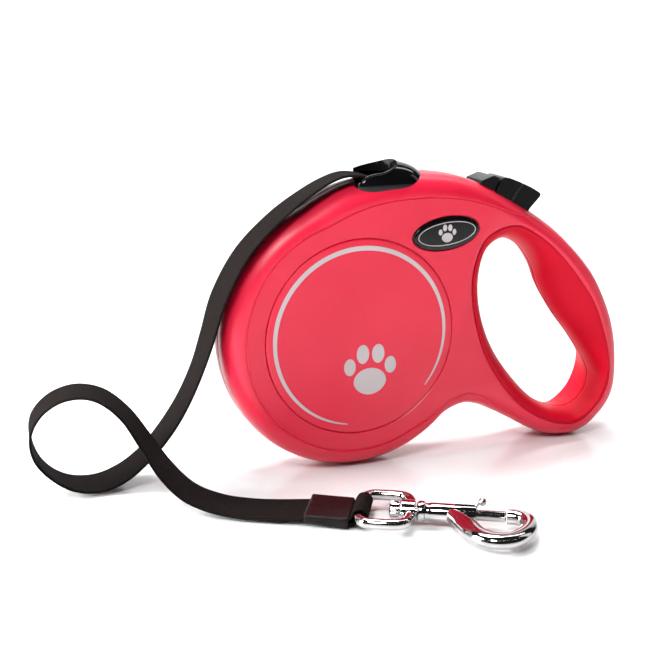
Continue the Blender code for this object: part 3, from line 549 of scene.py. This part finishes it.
def shell(name, side):
    """One half of the case with its seats, screw posts and ways through."""
    body = case_outside(name, side)
    groove = panel_line(body, side)
    inside = case_hollow("inside", side)
    cut(inside, opening_plug("opening_wall", side, GRIP_T + GAP + WALL, 0.0, 2))
    chamber = loft("chamber", [[(CHAMBER_R * c, y, REEL_Z + CHAMBER_R * s)
                                for c, s in circle(72)] for y in (-side, side * CHAMBER_HALF)])
    join(inside, chamber)
    for x, z in SCREWS:
        post = prism("post", [(x + SCREW_POST_R * c, z + SCREW_POST_R * s)
                              for c, s in circle(16)],
                     side * GAP / 2, side * (INNER_HALF + 0.4))
        cut(inside, post)
    face, out = side * (HALF_T - RECESS), side * (HALF_T + 2)
    lip = side * (HALF_T - 0.3)
    seat = turned("cover_seat", [(0.01, face), (COVER_R + GAP, face), (COVER_R + GAP, lip),
                                 (COVER_R + GAP + 0.35, side * (HALF_T + 0.05)),
                                 (COVER_R + GAP + 0.35, out), (0.01, out)])
    badge = loft("badge_seat", [[(x, y, z) for x, z in oval(g)] for y, g in (
        (face, GAP), (lip, GAP), (side * (HALF_T + 0.05), GAP + 0.35), (out, GAP + 0.35))])
    cut(body, opening_plug("opening", side, GRIP_T + 1.4 * GAP, 0.45), inside, seat, badge,
        groove)
    axle = prism("axle_hole", [(AXLE_BORE * c, REEL_Z + AXLE_BORE * s) for c, s in circle(32)],
                 side * 5, out)
    tape_half = TAPE_W / 2 + 1.4
    tape = prism("tape_way", [(4.2, 118.5), (19, 118.5), (19, 136), (4.2, 136)],
                 -tape_half, tape_half)
    brake = prism("brake_way", [slope(-12.3, -5), slope(7.2, -5), slope(8.7, 4),
                                slope(-12.3, 4)], -8.7, 8.7)
    lock = prism("lock_way", [slope(-20.2, -4), slope(-13.5, -4), slope(-13.5, 4),
                              slope(-20.2, 4)], -3.3, 3.3)
    foot = prism("foot_seat", [(-7.3, -0.3), (2.3, -0.3), (2.3, 2.5), (-7.3, 2.5)], -3.9, 3.9)
    cut(body, axle, tape, brake, lock, foot)
    if side > 0:
        for x, z in SCREWS:
            way = [(x + SCREW_WAY_R * c, z + SCREW_WAY_R * s) for c, s in circle(24)]
            cut(body, prism("screw_way", way, 9.0, HALF_T + 2))
    shade(body, 38)
    return body


def paw(name, centre, size, y, side, height=PRINT_T):
    """A generic paw print: one pad and four toes, as low inlays."""
    pieces = []
    shapes = [(0, -0.22, 0.34, 0.27), (-0.42, 0.10, 0.12, 0.17), (-0.15, 0.34, 0.13, 0.19),
              (0.17, 0.33, 0.13, 0.19), (0.43, 0.08, 0.12, 0.17)]
    for k, (u, v, a, b) in enumerate(shapes):
        ring = []
        for c, s in circle(PAW_SIDES):
            dent = 0.82 + 0.18 * abs(s) if k == 0 and s < 0 else 1.0
            ring.append((centre[0] + size * (u + a * c), centre[1] + size * (v + b * s * dent)))
        rings = [[(x, y, z) for x, z in ring], [(x, y + side * height, z) for x, z in ring]]
        pieces.append(rings)
    verts, faces = [], []
    for rings in pieces:
        start = len(verts)
        verts += rings[0] + rings[1]
        top = start + PAW_SIDES
        for j in range(PAW_SIDES):
            k = (j + 1) % PAW_SIDES
            faces.append((start + j, start + k, top + k, top + j))
        faces.append(tuple(start + j for j in range(PAW_SIDES)))
        faces.append(tuple(top + j for j in reversed(range(PAW_SIDES))))
    return solid(name, verts, faces, "print_silver")


def build_case():
    for name, side in (("front", -1), ("rear", 1)):
        stand_for(shell(f"case_{name}", side), "case", f"{name}_shell", slot="case_red")
        stand_for(handle_grip(f"grip_{name}", side), "case", f"{name}_handle_grip")
        base = side * (HALF_T - RECESS + GAP)
        top = base + side * COVER_T
        cover = turned(f"cover_{name}", [
            (0.01, base), (COVER_R, base), (COVER_R, top - side * 0.5),
            (COVER_R - 0.07, top - side * 0.22), (COVER_R - 0.25, top - side * 0.06),
            (COVER_R - 0.6, top), (COVER_R - 3, top), (0.01, top)], "case_red", 192)
        stand_for(cover, "case", f"{name}_face_cover")
        rings = []
        for i in range(RING_STEPS + 1):
            share = i / RING_STEPS
            a = math.radians(-99 - 300 * share)
            half = 0.15 + 0.85 * math.sin(math.pi * share) ** 0.55
            rings.append([((RING_R + r) * math.cos(a), top + side * h,
                           REEL_Z + (RING_R + r) * math.sin(a))
                          for r, h in ((-half, 0), (half, 0), (half, PRINT_T),
                                       (-half, PRINT_T))])
        if side > 0:
            rings = [[(-x, y, z) for x, y, z in ring] for ring in rings]
        ring = loft(f"cover_ring_{name}", rings, "print_silver")
        stand_for(ring, "case", slot="gloss_black")
        stand_for(paw(f"cover_paw_{name}", (-side * 4.0, REEL_Z - 15.0), 22.0, top, side),
                  "case", slot="gloss_black")
        dome = [(0, 0), (0, 0.85), (-0.1, 1.1), (-0.35, 1.32), (-0.8, 1.48), (-1.6, 1.6),
                (-2.8, 1.67), (-4.4, 1.7)]
        badge = loft(f"badge_plate_{name}", [[(x, base + side * h, z) for x, z in oval(g)]
                                             for g, h in dome], "gloss_black", smooth=60)
        stand_for(badge, "case", f"{name}_badge")
        line = loft(f"badge_line_{name}", [
            [(x, base + side * h, z) for x, z in oval(g)]
            for g, h in ((-2.0, 1.6), (-2.35, 1.6), (-2.35, 1.7), (-2.0, 1.7))],
            "print_silver", closed=True)
        stand_for(line, "case", slot="gloss_black")
        stand_for(paw(f"badge_paw_{name}", (BADGE[0], BADGE[1]), 7.6, base + side * 1.68, side,
                      0.08), "case", slot="gloss_black")


# ---- outlet ----
def superellipse(count, power_left, power_right):
    """A unit oval, blunter on its left than on its right."""
    out = []
    for c, s in circle(count):
        power = power_left if c < 0 else power_right
        out.append((math.copysign(abs(c) ** power, c), math.copysign(abs(s) ** power, s)))
    return out


# Hood: middle x and z, reach toward the reel and toward the handle, half width, height.
HOOD = (16.8, 123.1, 18.4, 15.6, 12.8, 9.2)
HOOD_BLUNT, HOOD_ROUND = 0.4, 0.85
MOUTH = [
    (-1.0, -10.6), (4.0, -10.6), (9.0, -10.7), (12.2, -10.2), (15.2, -8.9),
    (17.7, -6.9), (19.2, -4.2), (19.7, -1.2), (19.4, 1.8), (18.3, 4.6), (16.2, 6.8),
    (13.2, 8.4), (9.6, 9.6), (5.6, 10.5), (2.0, 10.6), (-1.0, 10.6),
]


def hood_share(x, y):
    """How far out on the hood's plan a point lies: 0 in the middle, 1 on its edge."""
    long, power = (HOOD[2], HOOD_BLUNT) if x < HOOD[0] else (HOOD[3], HOOD_ROUND)
    u, v = abs(x - HOOD[0]) / long, abs(y) / HOOD[4]
    return (u ** (2 / power) + v ** (2 / power)) ** (power / 2)


def build_outlet():
    """Hood with an open mouth, whose raised lip runs round it on the hood's surface."""
    cx, cz, left, right, half, high = HOOD
    rings = []
    for k in range(1, 30):
        up = math.pi * (k / 30 - 0.5)
        rings.append([(cx + (left if u < 0 else right) * math.cos(up) * u,
                       half * math.cos(up) * v, cz + high * math.sin(up))
                      for u, v in superellipse(120, HOOD_BLUNT, HOOD_ROUND)])
    hood = loft("outlet_hood", rings, "gloss_black", smooth=40)
    lip = spline([MOUTH[0]] + MOUTH + [MOUTH[-1]], 6, False)
    rim = [Vector((x, y, cz + high * math.sqrt(max(0.0, 1 - hood_share(x, y) ** 2))))
           for x, y in lip if hood_share(x, y) < 0.965]
    rings = []
    for i, here in enumerate(rim):
        along = (rim[min(i + 1, len(rim) - 1)] - rim[max(i - 1, 0)]).normalized()
        out = Vector((-along.y, along.x, 0)).normalized()
        up = along.cross(out)
        rings.append([tuple(here + 0.55 * (c * out + d * up)) for c, d in circle(16)])
    join(hood, loft("rim", rings, "gloss_black"))
    plan = [(-12, -MOUTH_HALF)] + lip + [(-12, MOUTH_HALF)]
    cut(hood, loft("mouth", [[(x, y, z) for x, y in plan] for z in (125.2, 140)]),
        prism("slot", [(5.7, 118.5), (17.5, 118.5), (17.5, 127.0), (5.7, 127.0)],
              -MOUTH_HALF, MOUTH_HALF),
        loft("slant", [[(x, y, z) for x, y in ((-9, -14), (-3.5, -14), (6.5, 14), (-9, 14))]
                       for z in (115, 140)]))
    for side in (-1, 1):
        cut(hood, case_form("form", side, GAP))
    for side in (-1, 1):
        join(hood, prism("skirt", [(5, 119.5), (18.2, 119.5), (18.2, 126), (5, 126)],
                         side * 10.55, side * 11.1, "gloss_black"))
    join(hood, prism("liner", [(18.2, 121.5), (18.7, 121.5), (18.7, 126), (18.2, 126)],
                     -11.1, 11.1, "gloss_black"))
    shade(hood, 40)
    stand_for(soften(hood, 0.2, 3), "case", "tape_outlet")


# ---- brake button and lock ----
def build_brake():
    button = prism("button_cap", [
        slope(-11.9, -2.6), slope(6.6, -2.6), slope(6.9, 0.4), slope(8.6, 7.0),
        slope(8.5, 7.9), slope(7.8, 8.5), slope(3.0, 8.6), slope(-4.0, 8.1),
        slope(-8.6, 7.4), slope(-11.0, 6.5), slope(-11.9, 5.5)], -8.3, 8.3, "satin_black")
    for side in (-1, 1):
        cut(button, prism("waist", [slope(-13, -4), slope(-3.6, -4), slope(-1.6, 10),
                                    slope(-13, 10)], side * 7.6, side * 9))
    join(button, prism("stem", [slope(-5, -8.0), slope(-2, -8.0), slope(-2, 0), slope(-5, 0)],
                       -4, 4))
    stand_for(soften(button, 0.55, 4), "brake_button", "brake_button")

    lock = prism("lock_cap", [
        slope(-20.3, -2.0), slope(-12.8, -2.0), slope(-12.8, 4.3), slope(-13.5, 5.0),
        slope(-15.7, 4.9), slope(-16.7, 4.4), slope(-20.3, 0.3)], -7.4, 7.4, "satin_black")
    for side in (-1, 1):
        cut(lock, case_form("form", side, GAP, -0.4))
    join(lock, prism("stem", [slope(-16.1, -4.2), slope(-13.8, -4.2), slope(-13.8, 1.8),
                              slope(-16.1, 1.8)], -2.6, 2.6))
    stand_for(soften(lock, 0.4, 3), "lock_slider", "lock_slider")


# ---- tape ----
def width_direction(turn, dip):
    """Direction across the tape, turned about Z and tilted out of level."""
    turn, dip = math.radians(turn), math.radians(dip)
    return Vector((math.sin(turn) * math.cos(dip), math.cos(turn) * math.cos(dip),
                   math.sin(dip)))


def band(name, stations, width, thick):
    """A woven strip with rounded selvedges, and a map in millimetres for its weave."""
    half, h = width / 2, thick / 2
    section = [(-half + 0.28, -h), (-half + 1.2, -h * 0.94)]
    section += [(-half + 1.2 + (width - 2.4) * k / 6, -h * 0.94) for k in range(1, 6)]
    section += [(half - 1.2, -h * 0.94), (half - 0.28, -h), (half, -h * 0.4), (half, h * 0.4)]
    section += [(-a, -b) for a, b in section[:9]] + [(-half, h * 0.4), (-half, -h * 0.4)]
    rings, uvs, centres = [], [], []
    travelled = 0.0
    last = len(stations) - 1
    for i, (middle, across, scale) in enumerate(stations):
        along = stations[min(i + 1, last)][0] - stations[max(i - 1, 0)][0]
        across = (across - along * across.dot(along) / along.length_squared).normalized()
        up = along.normalized().cross(across)
        if i:
            travelled += (middle - stations[i - 1][0]).length
        rings.append([tuple(middle + a * scale * across + b * up) for a, b in section])
        uvs += [(travelled, a) for a, b in section]
        centres.append(world(*middle))
    return loft(name, rings, "tape_webbing", smooth=60, uvs=uvs), centres, travelled


def build_tape():
    route = spline([TAPE_ROUTE[0]] + TAPE_ROUTE + [TAPE_ROUTE[-1]], 8, False)
    stations = [(Vector(p[:3]), width_direction(*p[3:]), 1.0) for p in route]
    tape, centres, length = band("webbing_tape", stations, TAPE_W, TAPE_T)
    stand_for(tape, "case", "tape_free")
    return tape, centres, length * MM


# ---- sleeve and snap hook ----
def rounded(half_w, low, high, radius, sides=6):
    """A rounded rectangle of w and z."""
    out = []
    side, top, bottom = half_w - radius, high - radius, low + radius
    for cw, cz, start in ((side, top, 0), (-side, top, 90), (-side, bottom, 180),
                          (side, bottom, 270)):
        for k in range(sides + 1):
            a = math.radians(start + 90 * k / sides)
            out.append((cw + radius * math.cos(a), cz + radius * math.sin(a)))
    return out


def lift(s):
    """How far the folded end rises toward the free tape."""
    return LIFT * max(0.0, LIFT_START - s) / LIFT_RUN


def build_sleeve():
    rings = []
    for s, half_w, low, high, r in (
            (-19.0, 10.3, -4.7, -2.0, 0.3), (-18.85, 10.6, -4.85, -1.75, 0.5),
            (-18.3, 10.8, -4.9, -1.5, 0.6), (-16.5, 10.9, -4.9, -1.35, 0.7),
            (-13.0, 10.9, -4.9, -1.1, 0.8), (-9.0, 10.9, -4.9, -0.8, 0.8),
            (-5.0, 10.9, -4.9, -0.4, 0.9), (-2.5, 10.85, -4.9, -0.2, 0.9),
            (-1.85, 10.7, -4.8, -0.2, 0.8), (-1.6, 10.4, -4.65, -0.3, 0.6)):
        rings.append([clip(s, w, z + lift(s)) for w, z in rounded(half_w, low, high, r)])
    sleeve = loft("vinyl_sleeve", rings, "sleeve_vinyl", smooth=50)
    hollow = []
    for s, low, high in ((-24, -4.5, -2.1), (-19, -4.5, -1.9), (0, -4.5, -0.55)):
        hollow.append([clip(s, w, z + lift(s)) for w, z in
                       ((-10.1, low), (10.1, low), (10.1, high), (-10.1, high))])
    cut(sleeve, loft("hollow", hollow))
    shade(sleeve, 45)
    stand_for(sleeve, "case", "end_sleeve")

    across = (Vector(clip(0, 1, 0)) - Vector(clip(0, 0, 0)))
    route = [(-18.5, -3.7), (-8, -3.6), (-2.5, -3.5), (-0.5, -3.45)]
    route += [(EYE_BAR + 2.9 * math.cos(a), 2.9 * math.sin(a) - 0.1)
              for a in (math.radians(d) for d in range(-110, 151, 13))]
    route += [(-1.2, -1.3), (-2.6, -1.6), (-8, -1.95), (-18.2, -2.65)]
    stations = []
    for s, z in route:
        narrow = 1.0 - 0.12 * max(0.0, min(1.0, (s + 1.5) / 4.0))
        stations.append((Vector(clip(s, 0, z + lift(s))), across, narrow))
    loop, _, _ = band("folded_end", stations, 19.4, 0.8)
    stand_for(loop, "case", "tape_end_loop")
    return sleeve, loop


def swept(name, line, high, power, closed=False):
    """Sections laid across a flat line of (s, w, half width), flattened by the power."""
    rings = []
    count = len(line)
    for i, (s, w, wide) in enumerate(line):
        if closed:
            before, after = line[i - 1], line[(i + 1) % count]
        else:
            before, after = line[max(i - 1, 0)], line[min(i + 1, count - 1)]
        ds, dw = after[0] - before[0], after[1] - before[1]
        size = math.hypot(ds, dw)
        ring = []
        for k in range(32):
            a = 2 * math.pi * (k + 0.5) / 32
            off = wide * math.copysign(abs(math.cos(a)) ** power, math.cos(a))
            up = high * math.copysign(abs(math.sin(a)) ** power, math.sin(a))
            ring.append(clip(s - dw / size * off, w + ds / size * off, up))
        rings.append(ring)
    return loft(name, rings, "chrome", closed, smooth=40)


CURL = [                                # middle of the curled arm, and its half width
    (37.5, -1.5, 2.6), (40.6, -5.4, 3.4), (44.2, -11.3, 4.3), (48.3, -18.2, 4.2),
    (54.2, -22.0, 4.0), (60.4, -20.9, 3.8), (65.2, -15.2, 3.5), (67.5, -8.4, 3.2),
    (66.6, -2.7, 3.2), (63.4, -0.1, 3.3), (59.2, 0.5, 3.3),
]


def build_hook():
    half = [(s, w, EYE_WIRE) for s, w in (
        (EYE_BAR, 5), (EYE_BAR, 10.0), (4.0, 12.4), (6.9, 13.9), (15.8, 13.9), (19.2, 12.6),
        (21.0, 9.8), (21.4, 5))]
    line = half + [(s, -w, r) for s, w, r in reversed(half)]
    eye = swept("forged_eye", spline(line, 7, True), EYE_WIRE, 0.9, closed=True)
    join(eye, spun("socket", ((18.0, 4.0), (18.3, 4.4), (23.2, 4.4), (23.6, 4.0))))
    cut(eye, spun("bore", ((16, 2.4), (26, 2.4))))
    shade(eye, 40)
    stand_for(soften(eye, 0.3, 2, 30), "swivel_eye", "swivel_eye")

    rings = []
    for s, r, flute in ((13.4, 2.7, 0), (13.5, 3.1, 0), (13.9, 3.45, 0), (14.1, 3.5, 0.12),
                        (17.0, 3.5, 0.12), (17.2, 3.45, 0), (17.6, 3.3, 0), (17.6, 2.1, 0),
                        (28.2, 2.1, 0)):
        ring = []
        for k, (c, d) in enumerate(circle(96)):
            out = r - (flute if k % 6 > 3 else -flute)
            ring.append(clip(s, out * c, out * d))
        rings.append(ring)
    rivet = loft("rivet", rings, "chrome", smooth=25)
    stand_for(rivet, "snap_hook", "swivel_rivet")

    barrel = spun("snap_body", ((24.2, 3.3), (24.3, 3.7), (24.7, 4.2), (25.1, 4.35),
                                (26.7, 4.35), (27.1, 4.2), (27.4, 3.7), (28.0, 3.5),
                                (28.8, 3.6), (29.6, 3.85), (30.4, 3.9), (46.8, 3.9),
                                (47.2, 3.75), (47.4, 3.4)))
    curl = spline([CURL[0]] + CURL + [CURL[-1]], 8, False)
    join(barrel, swept("curl", curl, 3.0, 0.95))
    cut(barrel, spun("stem_bore", ((23, 2.4), (28.8, 2.4))),
        spun("bolt_bore", ((34.2, 2.5), (50, 2.5))),
        loft("knob_slot", [[clip(s, w, z) for s, w in ((38.7, -1), (52, -1), (52, 1),
                                                       (38.7, 1))] for z in (0, 7)]))
    shade(barrel, 40)
    stand_for(soften(barrel, 0.3, 2, 30), "snap_hook", "hook_body")

    bolt = spun("spring_bolt", ((42.2, 1.8), (42.5, 2.2), (58.1, 2.2), (58.5, 1.9), (58.7, 1.2)))
    lever = spline([(46.8, 0.0), (46.8, 0.0), (46.8, 2.6), (47.3, 4.2), (48.2, 5.2),
                    (49.2, KNOB_Z), (49.2, KNOB_Z)], 4, False)
    rings = []
    for i, (s, z) in enumerate(lever):
        before, after = lever[max(i - 1, 0)], lever[min(i + 1, len(lever) - 1)]
        ds, dz = after[0] - before[0], after[1] - before[1]
        size = math.hypot(ds, dz)
        rings.append([clip(s - dz / size * LEVER_R * c, LEVER_R * d,
                           z + ds / size * LEVER_R * c)
                      for c, d in circle(20)])
    knob = []
    for k in range(1, 16):
        up = math.pi * (k / 16 - 0.5)
        out = KNOB_R * math.cos(up)
        knob.append([clip(KNOB_S + out * c, out * d, KNOB_Z + KNOB_R * math.sin(up))
                     for c, d in circle(28)])
    join(bolt, loft("lever", rings, "chrome"), loft("knob", knob, "chrome"))
    shade(bolt, 45)
    stand_for(bolt, "hook_bolt", "hook_bolt")
    return eye, rivet, barrel, bolt


# ---- what stays from the frame, the stage and the light ----
KEPT = {
    "steel": ("axle", "mainspring", "brake_spring", "pawl_pin", "guide_pin", "bolt_spring",
              "case_screw_1", "case_screw_2", "case_screw_3", "case_screw_4"),
    "reel_nylon": ("reel_drum", "ratchet_flange", "brake_pawl"),
    "tape_webbing": ("tape_coil", "tape_inside"),
    "foot_rubber": ("rest_foot",),
}


def dress_frame():
    """Looks for the frame's own nodes that stay in view or inside."""
    for look, names in KEPT.items():
        for name in names:
            for slot in NODES[name].material_slots:
                slot.material = LOOKS[look]


def area_light(name, place, target, size, power):
    data = bpy.data.lights.new(name, "AREA")
    data.shape = "RECTANGLE"
    data.size, data.size_y = size
    data.energy = power
    light = bpy.data.objects.new(name, data)
    bpy.context.scene.collection.objects.link(light)
    place, target = Vector(place), Vector(target)
    light.location = place
    light.rotation_euler = (target - place).to_track_quat("-Z", "Y").to_euler()


def build_stage():
    """A wide white floor with a sweep behind the leash, and soft boxes round it."""
    profile = [(-FLOOR_HALF - 0.5, 0.5), (-FLOOR_HALF, 0.0), (SWEEP_Y, 0.0)]
    profile += [(SWEEP_Y + SWEEP_R * math.sin(a), SWEEP_R - SWEEP_R * math.cos(a))
                for a in (math.radians(d) for d in range(9, 91, 9))]
    profile.append((SWEEP_Y + SWEEP_R, 3.0))
    verts = [(x, y, z) for y, z in profile for x in (-FLOOR_HALF, FLOOR_HALF)]
    faces = [(2 * k, 2 * k + 1, 2 * k + 3, 2 * k + 2) for k in range(len(profile) - 1)]
    mesh = bpy.data.meshes.new("floor")
    mesh.from_pydata(verts, [], faces)
    mesh.shade_smooth()
    m = Nodes("floor_white", (0.78, 0.80, 0.805), 0.16, Specular_IOR_Level=0.35)
    m.rough(m.noise(3, 2), 0.12, 0.2)
    mesh.materials.append(m.material)
    floor = bpy.data.objects.new("floor", mesh)
    bpy.context.scene.collection.objects.link(floor)
    sky = bpy.data.worlds.new("studio")
    sky.use_nodes = True
    back = sky.node_tree.nodes["Background"]
    back.inputs["Color"].default_value = (1, 1, 1, 1)
    back.inputs["Strength"].default_value = 0.02
    bpy.context.scene.world = sky
    bpy.context.scene.view_settings.view_transform = "Standard"
    middle = (0, 0, 0.06)
    area_light("top_box", (0.0, 0.55, 1.6), (0.0, 0.3, 0), (0.9, 0.6), 24)
    area_light("key_box", (-0.95, -1.0, 1.45), middle, (0.5, 0.5), 25)
    area_light("right_strip", (1.1, -0.2, 0.5), middle, (0.25, 1.0), 1)
    area_light("left_strip", (-1.2, 0.1, 0.5), middle, (0.5, 0.8), 38)
    area_light("back_wash", (0.8, 0.9, 2.4), (0.9, 2.4, 0.9), (3.6, 0.8), 78)
    area_light("front_wash", (0, -1.7, 2.4), (0, -5.2, 0), (7, 0.8), 240)
    area_light("left_wash", (-2.2, 0, 2.4), (-5.6, 0, 0), (0.8, 4), 180)
    area_light("right_wash", (2.4, 0, 2.4), (5.8, 0, 0), (0.8, 4), 180)


make_camera()
build_case()
build_outlet()
build_brake()
tape, tape_path, tape_length = build_tape()
sleeve, loop = build_sleeve()
hook_pieces = build_hook()
dress_frame()
build_stage()
